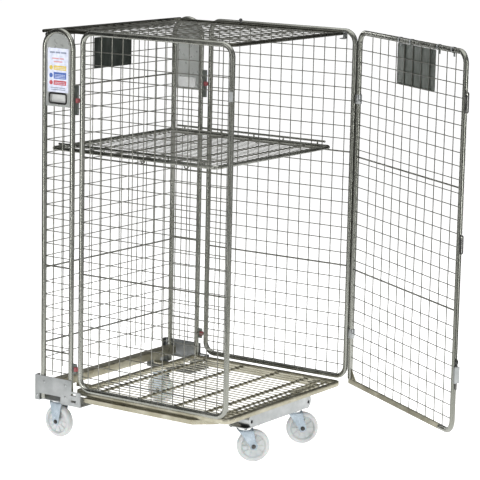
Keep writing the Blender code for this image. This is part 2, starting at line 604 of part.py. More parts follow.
def door_furniture(door_axis, panel_axis):
    """Hinge sleeves, the two swinging catches, the drop bolt and the keeper."""
    centre = door_place(0)
    for name, z in (("upper", 1.103), ("lower", 0.180)):
        sleeve = rod(f"door_{name}_sleeve", centre + Z * (BASE_Z + z - 0.018),
                     centre + Z * (BASE_Z + z + 0.018), SLEEVE_R, SHEET, panel_axis, 16)
        tail = box(f"tail_{name}", centre + Vector((-0.002, 0.010, BASE_Z + z - 0.018)),
                   centre + Vector((0.0125, DOOR_OFFSET, BASE_Z + z + 0.018)), SHEET)
        join(sleeve, tail)
        cut(sleeve, rod(f"bore_{name}", centre + Z * (BASE_Z + z - 0.03),
                        centre + Z * (BASE_Z + z + 0.03), TUBE_R + GAP, SHEET),
            rod(f"seat_{name}", centre + Y * DOOR_OFFSET + Z * (BASE_Z + z - 0.03),
                centre + Y * DOOR_OFFSET + Z * (BASE_Z + z + 0.03), TUBE_R + GAP, SHEET))
    # Catches hang on studs on the outer side of the free tube and swing up.
    reach = WIDTH + TUBE_R + GAP
    for name, z, length in CATCHES:
        stud = door_place(WIDTH + CATCH_OUT) + Z * (BASE_Z + z)
        turn = pivot(f"{name}_catch_pin", stud, door_axis)
        hang = [(0, 0.0055), (0.0055, 0.002), (0.006, -length), (-0.006, -length), (-0.0055, 0.002)]
        loop = [stud + Vector((0, a, b)) for a, b in hang]
        tube(f"door_{name}_catch", loop, 0.0025, STEEL, turn, cyclic=True, fine=1)
    guide = box("door_bolt_guide", door_place(WIDTH + GUIDE_EDGE, GUIDE_HALF) + Z * (BASE_Z + 0.175),
                door_place(reach, -GUIDE_HALF) + Z * (BASE_Z + 0.235), SHEET, door_axis)
    middle = door_place(reach + 0.006)
    cut(guide, rod("cut_bolt", middle + Z * BASE_Z, middle + Z * (BASE_Z + 0.4), 0.0043, SHEET))
    rod("door_drop_bolt", middle + Z * (BASE_Z + 0.150), middle + Z * (BASE_Z + 0.262), 0.004, STEEL,
        door_axis, 12)
    x = -HALF - TUBE_R - GAP
    box("door_keeper", (x - 0.0027, FRONT - 0.0125, BASE_Z + 1.160), (x, FRONT + 0.006, BASE_Z + 1.196),
        SHEET, bpy.data.objects["left_panel_hinge"])


for panel_side, panel_name in ((-1, "left"), (1, "right")):
    side_panel(panel_side, panel_name + "_panel")
    panel_hinges(panel_side, panel_name + "_panel")
    wing(panel_side, panel_name + "_wing")
back_panel()
base_frame()
for castor_side, castor_name in ((-1, "left"), (1, "right")):
    castor(f"rear_{castor_name}_castor", (castor_side * (HALF - 0.078), FRONT + CASTOR_BACK, BRACKET_LOW),
           0.0, 0.0, False)
    castor(f"front_{castor_name}_castor", (castor_side * 0.168, FRONT + 0.080, BASE_Z - 0.085),
           0.034, math.radians(40), True)
deck()
lid()
shelf()
right_axis = bpy.data.objects["right_panel_hinge"]
door_axis = door(right_axis)
door_furniture(door_axis, right_axis)
door_axis.rotation_euler.z = DOOR_OPEN
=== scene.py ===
"""How the roll cage looks: round tubes, full-pitch welded mesh, castors, plates and finishes
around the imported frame, on a pale floor in soft studio light. Units are metres."""

import json
import math

import bmesh
import bpy
from mathutils import Matrix, Vector

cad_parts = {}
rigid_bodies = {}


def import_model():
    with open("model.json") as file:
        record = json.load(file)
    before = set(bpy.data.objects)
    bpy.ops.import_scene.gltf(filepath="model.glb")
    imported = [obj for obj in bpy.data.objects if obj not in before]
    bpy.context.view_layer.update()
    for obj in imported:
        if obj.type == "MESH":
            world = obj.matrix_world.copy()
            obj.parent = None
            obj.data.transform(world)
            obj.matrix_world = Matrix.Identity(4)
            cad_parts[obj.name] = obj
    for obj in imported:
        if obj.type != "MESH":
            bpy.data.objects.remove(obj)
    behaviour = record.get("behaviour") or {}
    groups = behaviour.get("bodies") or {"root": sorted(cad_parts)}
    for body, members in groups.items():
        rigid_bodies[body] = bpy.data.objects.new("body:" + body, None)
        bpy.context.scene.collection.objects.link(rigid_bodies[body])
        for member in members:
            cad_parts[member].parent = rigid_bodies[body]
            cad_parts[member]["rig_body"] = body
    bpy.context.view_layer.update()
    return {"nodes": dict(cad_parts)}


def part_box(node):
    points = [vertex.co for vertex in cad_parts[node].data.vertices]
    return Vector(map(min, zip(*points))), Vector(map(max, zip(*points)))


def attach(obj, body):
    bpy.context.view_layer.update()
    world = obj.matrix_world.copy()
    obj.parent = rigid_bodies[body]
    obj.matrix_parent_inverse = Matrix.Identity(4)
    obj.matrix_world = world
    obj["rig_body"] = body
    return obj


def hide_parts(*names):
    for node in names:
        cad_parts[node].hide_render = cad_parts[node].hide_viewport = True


for old in list(bpy.data.objects):
    bpy.data.objects.remove(old)
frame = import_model()

# Driving dimensions, the same as the frame's. Depths count from FRONT, the side panels' front
# tubes, and heights from BASE_Z, their bottom tubes.
GAP = 0.0003
TUBE_R = 0.010
CORNER_R = 0.045
PANEL_HEIGHT = 1.360
PANEL_DEPTH = 0.678
WIDTH = 0.818                # between the side panels' tube centres
HALF = WIDTH / 2
BASE_Z = 0.2295
TOP_Z = BASE_Z + PANEL_HEIGHT
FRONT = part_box("left_panel_frame")[0].y + TUBE_R
WING_INNER = 0.725
WING_OUTER = 0.860
DECK_BACK = 0.714            # the deck's back tube, which it folds up about
DECK_Z = BASE_Z - 0.0215
DOOR_OFFSET = 0.0225
DOOR_OPEN = math.radians(58.7)
WHEEL_R = 0.0625
WHEEL_W = 0.034

# The welded mesh
MESH_R = 0.0018              # a wire
STIFF_R = 0.0032             # a stiffening rod
ROW = 0.0497                 # pitch up a panel
COLUMN = 0.050               # and along it
REACH = TUBE_R * 0.8         # wires end this far from a tube's centre line, inside the tube
ROD_CLEARANCE = 0.02         # no wire lies nearer to a rod than this
PANEL_ROD_ROWS = (9, 18)     # the rows of a side panel that are rods
WING_RODS = (0.129, 0.461)
BACK_RODS = (0.160, 0.452, 1.136)
DOOR_RODS = (0.437, 0.880)
LONG_GAPS = 25               # gaps between the front-to-back wires of the deck and the shelf

TIP = 0.0001                 # a turned profile ends this far from its axis
SIDES = ((-1, "left"), (1, "right"))

X, Y, Z = Vector((1, 0, 0)), Vector((0, 1, 0)), Vector((0, 0, 1))
HINGE = Vector((HALF, FRONT - DOOR_OFFSET, BASE_Z))
DOOR = Matrix.Translation(HINGE) @ Matrix.Rotation(DOOR_OPEN, 4, "Z") @ Matrix.Translation(-HINGE)


# ---- Materials ----

def node(tree, kind, **values):
    made = tree.nodes.new(kind)
    for name, value in values.items():
        if hasattr(made, name):
            setattr(made, name, value)
        else:
            made.inputs[name.replace("_", " ")].default_value = value
    return made


def ramp(tree, source, stops):
    made = tree.nodes.new("ShaderNodeValToRGB")
    tree.links.new(source, made.inputs["Fac"])
    elements = made.color_ramp.elements
    while len(elements) < len(stops):
        elements.new(0.5)
    for element, (where, colour) in zip(elements, stops):
        element.position = where
        element.color = (*colour, 1)
    return made.outputs["Color"]


def surface(name, colours, rough, metallic=1.0, grain=90.0, bump=0.08, cloud=9.0,
            stretch=(1, 1, 1), **sockets):
    """A finish with cloudy colour, patchy roughness and a fine bump, all in object space."""
    made = bpy.data.materials.new(name)
    made.use_nodes = True
    tree = made.node_tree
    shader = tree.nodes["Principled BSDF"]
    shader.inputs["Metallic"].default_value = metallic
    for socket, value in sockets.items():
        shader.inputs[socket.replace("_", " ")].default_value = value
    place = node(tree, "ShaderNodeTexCoord").outputs["Object"]
    scaled = node(tree, "ShaderNodeMapping")
    scaled.inputs["Scale"].default_value = stretch
    tree.links.new(place, scaled.inputs["Vector"])
    place = scaled.outputs["Vector"]

    def noise(scale, detail):
        made_noise = node(tree, "ShaderNodeTexNoise", Scale=scale, Detail=detail, Roughness=0.6)
        tree.links.new(place, made_noise.inputs["Vector"])
        return made_noise.outputs["Fac"]

    clouds = noise(cloud, 4.0)
    stops = [(0.30 + 0.40 * i / max(len(colours) - 1, 1), c) for i, c in enumerate(colours)]
    tree.links.new(ramp(tree, clouds, stops), shader.inputs["Base Color"])
    patches = node(tree, "ShaderNodeMapRange")
    tree.links.new(noise(cloud * 3.1, 3.0), patches.inputs["Value"])
    for socket, value in (("From Min", 0.3), ("From Max", 0.7),
                          ("To Min", rough[0]), ("To Max", rough[1])):
        patches.inputs[socket].default_value = value
    tree.links.new(patches.outputs["Result"], shader.inputs["Roughness"])
    grit = node(tree, "ShaderNodeBump", Strength=bump, Distance=0.0006)
    tree.links.new(noise(grain, 5.0), grit.inputs["Height"])
    tree.links.new(grit.outputs["Normal"], shader.inputs["Normal"])
    return made


TUBE = surface("bright_zinc_tube",
               [(0.20, 0.205, 0.178), (0.275, 0.28, 0.25), (0.36, 0.365, 0.335)],
               (0.20, 0.32), grain=40, bump=0.004, cloud=7, stretch=(1, 1, 0.15))
DULL_TUBE = surface("dull_zinc_tube",
                    [(0.045, 0.045, 0.036), (0.075, 0.075, 0.060), (0.12, 0.12, 0.10)],
                    (0.20, 0.36), grain=70, bump=0.03, cloud=10)
WIRE = surface("drawn_zinc_wire", [(0.15, 0.15, 0.13), (0.21, 0.21, 0.185), (0.29, 0.29, 0.265)],
               (0.30, 0.46), grain=220, bump=0.08, cloud=16)
OLIVE = surface("yellow_passivated_steel",
                [(0.30, 0.28, 0.20), (0.39, 0.37, 0.285), (0.49, 0.47, 0.38)],
                (0.26, 0.42), grain=80, bump=0.05, cloud=12)
OLIVE_BRIGHT = surface("yellow_passivated_wire",
                       [(0.48, 0.46, 0.37), (0.60, 0.58, 0.48), (0.72, 0.70, 0.60)],
                       (0.24, 0.40), grain=90, bump=0.03, cloud=14)
OLIVE_DARK = surface("yellow_passivated_bar",
                     [(0.20, 0.185, 0.13), (0.28, 0.265, 0.195), (0.37, 0.35, 0.27)],
                     (0.30, 0.46), grain=200, bump=0.08, cloud=14)
SHEET = surface("galvanised_sheet",
                [(0.33, 0.345, 0.345), (0.38, 0.395, 0.395), (0.44, 0.455, 0.455)],
                (0.28, 0.42), grain=80, bump=0.05, cloud=20)
PLATE_DARK = surface("weathered_zinc_plate",
                     [(0.040, 0.047, 0.042), (0.065, 0.074, 0.067), (0.105, 0.116, 0.105)],
                     (0.34, 0.52), grain=80, bump=0.10, cloud=22, stretch=(1, 1, 0.3))
PLATE_LIGHT = surface("greened_zinc_plate",
                      [(0.13, 0.145, 0.13), (0.19, 0.21, 0.19), (0.27, 0.29, 0.27)],
                      (0.30, 0.46), grain=80, bump=0.06, cloud=22, stretch=(1, 1, 0.3))
FORK = surface("blue_zinc_pressing", [(0.28, 0.335, 0.38), (0.36, 0.42, 0.47), (0.46, 0.52, 0.57)],
               (0.22, 0.38), grain=110, bump=0.06, cloud=24)
CHROME = surface("bright_raceway", [(0.66, 0.66, 0.65), (0.76, 0.76, 0.75), (0.86, 0.86, 0.85)],
                 (0.08, 0.18), grain=150, bump=0.04, cloud=30)
STEEL = surface("dark_bolt_steel", [(0.05, 0.05, 0.05), (0.09, 0.09, 0.087), (0.17, 0.165, 0.155)],
                (0.28, 0.46), grain=160, bump=0.10, cloud=40)
NYLON = surface("milky_nylon", [(0.47, 0.49, 0.49), (0.54, 0.56, 0.56), (0.61, 0.63, 0.63)],
                (0.26, 0.42), metallic=0.0, grain=130, bump=0.05, cloud=18,
                Subsurface_Weight=0.2, Subsurface_Scale=0.01, Coat_Weight=0.15)
HUB = surface("grey_hub", [(0.27, 0.29, 0.29), (0.35, 0.37, 0.37), (0.44, 0.46, 0.46)],
              (0.34, 0.50), metallic=0.0, grain=130, bump=0.05, cloud=22)
PAINT = surface("lacquered_zinc_plate",
                [(0.46, 0.48, 0.46), (0.51, 0.53, 0.51), (0.57, 0.59, 0.57)],
                (0.24, 0.40), metallic=0.55, grain=60, bump=0.05, cloud=14)
CUP = surface("pale_moulding", [(0.50, 0.51, 0.50), (0.56, 0.57, 0.56), (0.62, 0.63, 0.62)],
              (0.30, 0.44), metallic=0.0, grain=90, bump=0.04, cloud=20)
BUSH = surface("plum_nylon", [(0.14, 0.025, 0.03), (0.22, 0.045, 0.05), (0.32, 0.08, 0.08)],
               (0.34, 0.52), metallic=0.0, grain=160, bump=0.08, cloud=40)
BLACK = surface("black_moulding",
                [(0.016, 0.016, 0.018), (0.03, 0.03, 0.032), (0.05, 0.05, 0.052)],
                (0.30, 0.48), metallic=0.0, grain=150, bump=0.08, cloud=30)


def print_ink(name, colour):
    darker = tuple(c * 0.82 for c in colour)
    lighter = tuple(min(1.0, c * 1.12 + 0.02) for c in colour)
    return surface(name, [darker, colour, lighter], (0.34, 0.48), metallic=0.0, grain=180,
                   bump=0.03, cloud=60)


INKS = [print_ink("sticker_white", (0.56, 0.59, 0.70)),
        print_ink("sticker_grey", (0.20, 0.23, 0.30)),
        print_ink("sticker_pink", (0.55, 0.28, 0.29)),
        print_ink("sticker_yellow", (0.58, 0.44, 0.07)),
        print_ink("sticker_blue", (0.06, 0.12, 0.36)),
        print_ink("sticker_red", (0.45, 0.07, 0.08))]
WHITE_INK, GREY_INK, PINK_INK, YELLOW_INK, BLUE_INK, RED_INK = range(6)


# ---- Shapes ----

def rounded(corners, steps=8):
    """Points of an outline of (x, y, radius) corners, with its round corners as arcs."""
    points = []
    for i, (x, y, radius) in enumerate(corners):
        here = Vector((x, y))
        if not radius:
            points.append(here)
            continue
        back = (Vector(corners[i - 1][:2]) - here).normalized()
        on = (Vector(corners[(i + 1) % len(corners)][:2]) - here).normalized()
        half_angle = back.angle(on) / 2
        middle = here + (back + on).normalized() * radius / math.sin(half_angle)
        start = here + back * radius / math.tan(half_angle) - middle
        turn = start.angle_signed(here + on * radius / math.tan(half_angle) - middle)
        for step in range(steps + 1):
            points.append(middle + Matrix.Rotation(-turn * step / steps, 2) @ start)
    return [p for i, p in enumerate(points) if (p - points[i - 1]).length > 1e-4]


def loop(x0, x1, y0, y1, radius, steps=8):
    """A rectangle with round corners."""
    return rounded([(x0, y0, radius), (x1, y0, radius), (x1, y1, radius), (x0, y1, radius)], steps)


def circle(radius, sides):
    angles = [2 * math.pi * k / sides for k in range(sides)]
    return [(radius * math.cos(a), radius * math.sin(a)) for a in angles]


def flat_bar(width, height, nose=0.0012):
    """A section with softened corners."""
    return [tuple(p) for p in loop(-width / 2, width / 2, -height / 2, height / 2, nose, 2)]


class Shape:
    """Collects closed solids in one mesh, then makes the piece."""

    def __init__(self):
        self.cage = bmesh.new()
        self.ink = 0

    def skin(self, rings, cyclic=False, caps=True):
        """Quads between rings of equal length, with flat ends."""
        made = [[self.cage.verts.new(p) for p in ring] for ring in rings]
        count = len(made)
        for i in range(count if cyclic else count - 1):
            low, high = made[i], made[(i + 1) % count]
            for k in range(len(low)):
                n = (k + 1) % len(low)
                self.cage.faces.new((low[k], low[n], high[n], high[k])).material_index = self.ink
        if caps and not cyclic:
            self.cage.faces.new(made[0][::-1]).material_index = self.ink
            self.cage.faces.new(made[-1]).material_index = self.ink

    def sweep(self, path, section, up, cyclic=False):
        """Draws section, (side, up) pairs, along a path that lies square to up."""
        path = [Vector(p) for p in path]
        up = Vector(up)
        last = len(path) - 1
        rings = []
        for i, point in enumerate(path):
            into = (point - path[i - 1]).normalized() if i or cyclic else None
            out = (path[(i + 1) % len(path)] - point).normalized() if i < last or cyclic else None
            first = out if into is None else into
            second = into if out is None else out
            along = (first + second).normalized()
            side = along.cross(up).normalized()
            wide = 1 / max(along.dot(second), 0.5)
            rings.append([point + side * a * wide + up * b for a, b in section])
        self.skin(rings, cyclic)

    def tube(self, path, radius, up, cyclic=False, sides=24):
        self.sweep(path, circle(radius, sides), up, cyclic)

    def rod(self, start, end, radius, sides=12):
        start, end = Vector(start), Vector(end)
        along = (end - start).normalized()
        up = along.orthogonal().normalized()
        side = along.cross(up)
        self.skin([[p + side * a + up * b for a, b in circle(radius, sides)]
                   for p in (start, end)])

    def box(self, low, high):
        (x0, y0, z0), (x1, y1, z1) = low, high
        self.skin([[(x0, y0, z), (x1, y0, z), (x1, y1, z), (x0, y1, z)] for z in (z0, z1)])

    def lathe(self, profile, centre, axis, sides=32):
        """Turns a closed outline of (radius, along) points about axis through centre."""
        axis, centre = Vector(axis).normalized(), Vector(centre)
        up = axis.orthogonal().normalized()
        side = axis.cross(up)
        rings = []
        for a, b in circle(1, sides):
            out = side * a + up * b
            rings.append([centre + out * r + axis * h for r, h in profile])
        self.skin(rings, cyclic=True)

    def hexagon(self, centre, axis, across, height):
        """A nut or bolt head."""
        self.lathe([(TIP, 0), (across / 2, 0), (across / 2, height * 0.8),
                    (across * 0.42, height), (TIP, height)], centre, axis, 6)

    def done(self, name, mats, body, *nodes, slot=None, place=None, bevel=0.0, sharp=32.0):
        cage = self.cage
        if place is not None:
            bmesh.ops.transform(cage, matrix=place, verts=cage.verts)
        bmesh.ops.remove_doubles(cage, verts=cage.verts, dist=1e-7)
        bmesh.ops.recalc_face_normals(cage, faces=cage.faces)
        mesh = bpy.data.meshes.new(name)
        cage.to_mesh(mesh)
        cage.free()
        return finished(name, mesh, mats, body, nodes, bevel, sharp)


def finished(name, mesh, mats, body, nodes, bevel=0.0, sharp=32.0):
    """Makes the piece from its mesh, which rides on body and stands for nodes."""
    for mat in (mats if isinstance(mats, list) else [mats]):
        mesh.materials.append(mat)
    mesh.shade_smooth()
    mesh.set_sharp_from_angle(angle=math.radians(sharp))
    obj = bpy.data.objects.new(name, mesh)
    bpy.context.scene.collection.objects.link(obj)
    if bevel:
        soften = obj.modifiers.new("soft_edges", "BEVEL")
        soften.width = bevel
        soften.segments = 2
        soften.limit_method = "ANGLE"
        soften.angle_limit = math.radians(35)
        soften.harden_normals = True
    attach(obj, body)
    if nodes:
        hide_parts(*nodes)
    return obj


def dress(name, mat, bevel=0.0006):
    """A piece with the same solid as a CAD node, with clean faces and soft edges."""
    source = frame["nodes"][name]
    cage = bmesh.new()
    cage.from_mesh(source.data)
    bmesh.ops.remove_doubles(cage, verts=cage.verts, dist=1e-5)
    bmesh.ops.dissolve_limit(cage, angle_limit=math.radians(1.5), verts=cage.verts,
                             edges=cage.edges)
    mesh = bpy.data.meshes.new(name + "_finish")
    cage.to_mesh(mesh)
    cage.free()
    return finished(name + "_finish", mesh, mat, source["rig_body"], (name,), bevel)


def spaced(first, pitch, count):
    return [first + pitch * k for k in range(count)]


def lattice(origin, across, up, columns, rows, size, stiff, layer, thin=MESH_R):
    """A welded mesh: upright wires in one layer and cross wires in another, each its radius
    off the plane, so that the layers touch where the wires cross. The rows in stiff are rods."""
    normal = across.cross(up) * layer
    shape = Shape()
    for c in columns:
        base = origin + across * c + normal * thin
        shape.rod(base, base + up * size[1], thin, 8)
    for r in list(rows) + list(stiff):
        radius = STIFF_R if r in stiff else thin
        base = origin + up * r - normal * radius * 0.94
        shape.rod(base, base + across * size[0], radius, 8 if radius == thin else 10)
    return shape


# ---- Side panels, wings and back ----

def clear_of(heights, rods):
    """The heights that leave room for the stiffening rods."""
    return [h for h in heights if min(abs(h - rod) for rod in rods) > ROD_CLEARANCE]


def side_panel(side, name):
    body = name + "_panel"
    x = side * HALF
    outline = loop(0, PANEL_DEPTH, 0, PANEL_HEIGHT, CORNER_R, 10)
    shape = Shape()
    shape.tube([(x, FRONT + p.x, BASE_Z + p.y) for p in outline], TUBE_R, X, True)
    shape.done(body + "_tube", TUBE, body, body + "_frame", slot="zinc_tube")
    rows = [ROW * k for k in range(1, 27) if k not in PANEL_ROD_ROWS]
    shape = lattice(Vector((x, FRONT + REACH, BASE_Z + REACH)), Y, Z,
                    [y - REACH for y in spaced(0.039, COLUMN, 13)], [r - REACH for r in rows],
                    (PANEL_DEPTH - 2 * REACH, PANEL_HEIGHT - 2 * REACH),
                    [ROW * k - REACH for k in PANEL_ROD_ROWS], side)
    shape.done(body + "_wires", WIRE, body, body + "_mesh", slot="zinc_wire")
    for place in ("upper", "lower"):
        dress(f"{body}_{place}_hinge", PLATE_LIGHT, 0.0008)
        dress(f"{body}_{place}_bush", BUSH, 0.0006)


def wing(side, name):
    """An arched tube with its feet in the corner bracket, and its mesh."""
    x, foot = side * HALF, -0.062
    width = WING_OUTER - WING_INNER
    arch_r = width / 2 - 1e-5
    arch = rounded([(WING_INNER, foot, 0), (WING_OUTER, foot, 0),
                    (WING_OUTER, PANEL_HEIGHT, arch_r), (WING_INNER, PANEL_HEIGHT, arch_r)], 14)
    shape = Shape()
    shape.tube([(x, FRONT + p.x, BASE_Z + p.y) for p in arch[1:] + arch[:1]], TUBE_R, X)
    shape.done(name + "_wing_tube", TUBE, "base", name + "_wing_frame", slot="zinc_tube")
    low, high = 0.035, 1.078
    spread = width - 2 * REACH
    shape = lattice(Vector((x, FRONT + WING_INNER + REACH, BASE_Z + low)), Y, Z,
                    [spread * 0.32, spread * 0.68],
                    [r - low for r in clear_of(spaced(ROW, ROW, 21), WING_RODS)],
                    (spread, high - low), [r - low for r in WING_RODS], side)
    shape.done(name + "_wing_wires", WIRE, "base", name + "_wing_mesh", slot="zinc_wire")


def head_plate(side, name):
    """The plate in the wing's arch, with a rim and a closed cup in its hand slot."""
    low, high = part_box(name + "_wing_head_plate")
    dress(name + "_wing_head_plate", PAINT, 0.0004)
    face_x = high.x if side > 0 else low.x
    slot_y0, slot_y1 = low.y + 0.016, high.y - 0.016
    slot_z0, slot_z1 = low.z + 0.012, low.z + 0.050
    shape = Shape()
    rim = loop(slot_y0, slot_y1, slot_z0, slot_z1, 0.008, 6)
    shape.sweep([(face_x + side * 0.0004, p.x, p.y) for p in rim],
                [tuple(p) for p in loop(-0.0040, 0.0030, -0.0020, 0.0020, 0.0012, 3)], X, True)
    shape.done(name + "_hand_slot_rim", STEEL, "base", slot="bolt_steel")

    lip = 0.0015
    cup = loop(slot_y0 - lip, slot_y1 + lip, slot_z0 - lip, slot_z1 + lip, 0.009, 6)
    mouth_x, floor_x = face_x - side * 0.0022, face_x - side * 0.0125
    inner_x = floor_x + side * 0.0010
    middle_y, middle_z = (slot_y0 + slot_y1) / 2, (slot_z0 + slot_z1) / 2

    def ring(x, shrink):
        return [(x, middle_y + (p.x - middle_y) * shrink, middle_z + (p.y - middle_z) * shrink)
                for p in cup]

    shape = Shape()
    shape.skin([ring(mouth_x, 0.975), ring(inner_x, 0.93), ring(inner_x, 0.02),
                ring(floor_x, 0.02), ring(floor_x, 0.96), ring(mouth_x, 1.0)],
               caps=False, cyclic=True)
    shape.done(name + "_hand_cup", CUP, "base", slot="painted_label")
    if side < 0:
        sticker(side, face_x, (low.y + high.y) / 2)


def sticker(side, face_x, middle):
    """Plain printed blocks and discs, with no lettering, on the plate's outer face."""
    foot_z, stretch = BASE_Z + 1.129, 1.16
    shape = Shape()

    def block(y0, y1, low_z, high_z, ink, depth=0.0005):
        shape.ink = ink
        inner, outer = sorted((face_x, face_x + side * depth))
        shape.box((inner, middle + y0 * stretch, foot_z + low_z),
                  (outer, middle + y1 * stretch, foot_z + high_z))

    block(-0.043, 0.043, 0.0, 0.165, WHITE_INK, 0.0003)
    for y0, y1 in ((-0.034, -0.012), (-0.009, 0.010), (0.013, 0.034)):
        block(y0, y1, 0.146, 0.152, GREY_INK)
    for y0, y1, row in ((-0.024, -0.006, 0.124), (-0.003, 0.024, 0.124), (-0.018, 0.018, 0.112)):
        block(y0, y1, row, row + 0.005, PINK_INK)
    for row, tall, lines, ink in ((0.083, 0.017, 2, YELLOW_INK), (0.050, 0.025, 3, BLUE_INK),
                                  (0.027, 0.017, 2, RED_INK)):
        block(-0.034, 0.018, row, row + tall, ink)
        start = Vector((face_x, middle + 0.0335, foot_z + row + tall / 2))
        shape.rod(start, start + X * side * 0.0005, 0.0085, 20)
        for line in spaced(row + 0.004, 0.0055, lines):
            block(-0.030, 0.014, line, line + 0.0016, WHITE_INK, 0.0006)
    for row in (0.008, 0.015):
        block(-0.030, 0.030, row, row + 0.003, GREY_INK)
    shape.done("left_wing_sticker", INKS, "base", slot="painted_label", sharp=20)


def back():
    """The back's mesh and top tube, with the rod that the lid hangs on standing out past it."""
    y = FRONT + WING_OUTER
    low, high = 0.040, PANEL_HEIGHT - 0.030
    shape = lattice(Vector((-HALF + REACH, y, BASE_Z + low)), X, Z,
                    [WIDTH * k / 14 - REACH for k in range(1, 14)],
                    [r - low for r in clear_of(spaced(2 * ROW, ROW, 25), BACK_RODS)],
                    (WIDTH - 2 * REACH, high - low + 0.004), [r - low for r in BACK_RODS], -1)
    shape.done("back_wires", WIRE, "base", "back_mesh", slot="zinc_wire")
    bar_z = BASE_Z + high + TUBE_R + GAP
    dress("back_top_tube", DULL_TUBE, 0.0004)
    shape = Shape()
    shape.rod((-HALF + TUBE_R, y, bar_z), (HALF - TUBE_R, y, bar_z), TUBE_R * 0.83, 20)
    lid_rod = [(end, FRONT + 0.8505, TOP_Z - 0.0035) for end in (-0.431, 0.431)]
    shape.rod(*lid_rod, 0.0062, 18)
    shape.done("back_top_tube_round", DULL_TUBE, "base", slot="zinc_tube")


def name_plate(node_name, mat, place, origin, across, wide, tall, body, out):
    """The dark plate, with a turned rim and four tab clips over the mesh wires."""
    dress(node_name, mat, 0.0003)
    shape = Shape()
    edge = loop(0.001, wide - 0.001, 0.001, tall - 0.001, 0.004, 3)
    shape.sweep([origin + across * p.x + Z * p.y for p in edge],
                [(-0.001, -0.0012), (0.001, -0.0012), (0.001, 0.0012), (-0.001, 0.0012)], out,
                True)
    for a in (0.03, wide - 0.03):
        for b in (0.012, tall - 0.012):
            shape.lathe([(TIP, -0.002), (0.0045, -0.002), (0.0045, 0.001), (0.003, 0.002),
                         (TIP, 0.0022)], origin + across * a + Z * b, out, 14)
    shape.done(node_name + "_rim", mat, body, slot="zinc_sheet", place=place)


for side, name in SIDES:
    side_panel(side, name)
    wing(side, name)
    head_plate(side, name)
back()
low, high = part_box("back_name_plate")
name_plate("back_name_plate", PLATE_DARK, None, Vector((low.x, (low.y + high.y) / 2, low.z)), X,
           high.x - low.x, high.z - low.z, "base", -Y)

# ---- Base ----

def rear_rail():
    """An angle bar, with two cradles in front of it that the deck's back tube turns in."""
    low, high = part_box("rear_rail")
    web_y, web_tall, sheet = FRONT + 0.807, 0.031, 0.003
    cradle_z, cradle_half = BASE_Z - 0.0345, 0.02
    shape = Shape()
    shape.box((low.x, web_y, high.z - web_tall), (high.x, web_y + sheet, high.z))
    shape.box((low.x, web_y, high.z - sheet), (high.x, high.y, high.z))
    for x in (-0.25, 0.25):
        ends = x - cradle_half, x + cradle_half
        shape.box((ends[0], web_y, cradle_z), (ends[1], web_y + sheet, high.z - 0.020))
        shape.box((ends[0], FRONT + DECK_BACK + 0.0102, cradle_z),
                  (ends[1], web_y + 0.002, cradle_z + 0.005))
        saddle = [(0.0098, math.radians(a)) for a in range(184, 357, 12)]
        saddle += [(0.0135, math.radians(a)) for a in range(356, 183, -12)]
        shape.skin([[(end, FRONT + DECK_BACK + r * math.cos(a), DECK_Z + r * math.sin(a))
                     for r, a in saddle] for end in ends])
    shape.done("rear_rail_angle", OLIVE, "base", "rear_rail", slot="yellow_passivate",
               bevel=0.0006)


def bracket_rivets(side, name):
    low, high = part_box(name + "_corner_bracket")
    shape = Shape()
    for y, z in ((0.742, 0.006), (0.846, 0.006), (0.742, -0.040), (0.882, -0.052)):
        shape.lathe([(TIP, 0), (0.0058, 0), (0.0055, 0.0010), (0.0036, 0.0022), (TIP, 0.0026)],
                    (low.x if side < 0 else high.x, FRONT + y, BASE_Z + z), X * side, 16)
    shape.done(name + "_bracket_rivets", SHEET, "base", slot="zinc_sheet")


dress("front_crossbar", SHEET, 0.0012)
rear_rail()
for side, name in SIDES:
    dress(name + "_side_rail", OLIVE, 0.0014)
    dress(name + "_corner_bracket", SHEET, 0.0007)
    bracket_rivets(side, name)

# ---- Castors ----

FORK_SHEET = 0.0026
FORK_LEG_X = WHEEL_W / 2 + 0.0035 + 0.003      # the outside of a fork's leg
FORK_FOOT = 0.0150                             # half the leg's width at the axle
FRONT_TRAIL = 0.034
HUB_RING, RIM_RING = 0.0185, 0.0440            # the radii that the wheel's ribs run between
RIBS = 10


def castor_fork(shape, top, trail):
    """A pressed fork: one bent strap over the wheel, tapering to round feet at the axle."""
    low, shoulder = WHEEL_R - 0.013, 0.011
    line = [(FORK_LEG_X, low + 0.0008 * k ** 2) for k in range(4)]
    line += [(FORK_LEG_X, low + 0.013 + (top - shoulder - low - 0.013) * k / 5)
             for k in range(6)]
    line += [(FORK_LEG_X - shoulder + shoulder * math.cos(a),
              top - shoulder + shoulder * math.sin(a))
             for a in (math.radians(18 * k) for k in range(1, 6))]
    line += [(FORK_LEG_X * 0.3, top)]
    scale = 1 - FORK_SHEET / FORK_LEG_X
    rings = []
    for x, z in line + [(-x, z) for x, z in line[::-1]]:
        share = min(max((z - WHEEL_R) / (top - WHEEL_R), 0), 1)
        middle = -trail * (1 - share)
        half = FORK_FOOT + 0.016 * share ** 1.2
        if z < WHEEL_R:
            half = math.sqrt(max(FORK_FOOT ** 2 - (WHEEL_R - z) ** 2, 0.003 ** 2))
        inner_z = z
        if abs(x) <= FORK_LEG_X * 0.999:
            inner_z = z - FORK_SHEET * max(0, (z - top + shoulder)) / shoulder
        rings.append([(x, middle - half, z), (x, middle + half, z),
                      (x * scale, middle + half, inner_z), (x * scale, middle - half, inner_z)])
    shape.skin(rings)


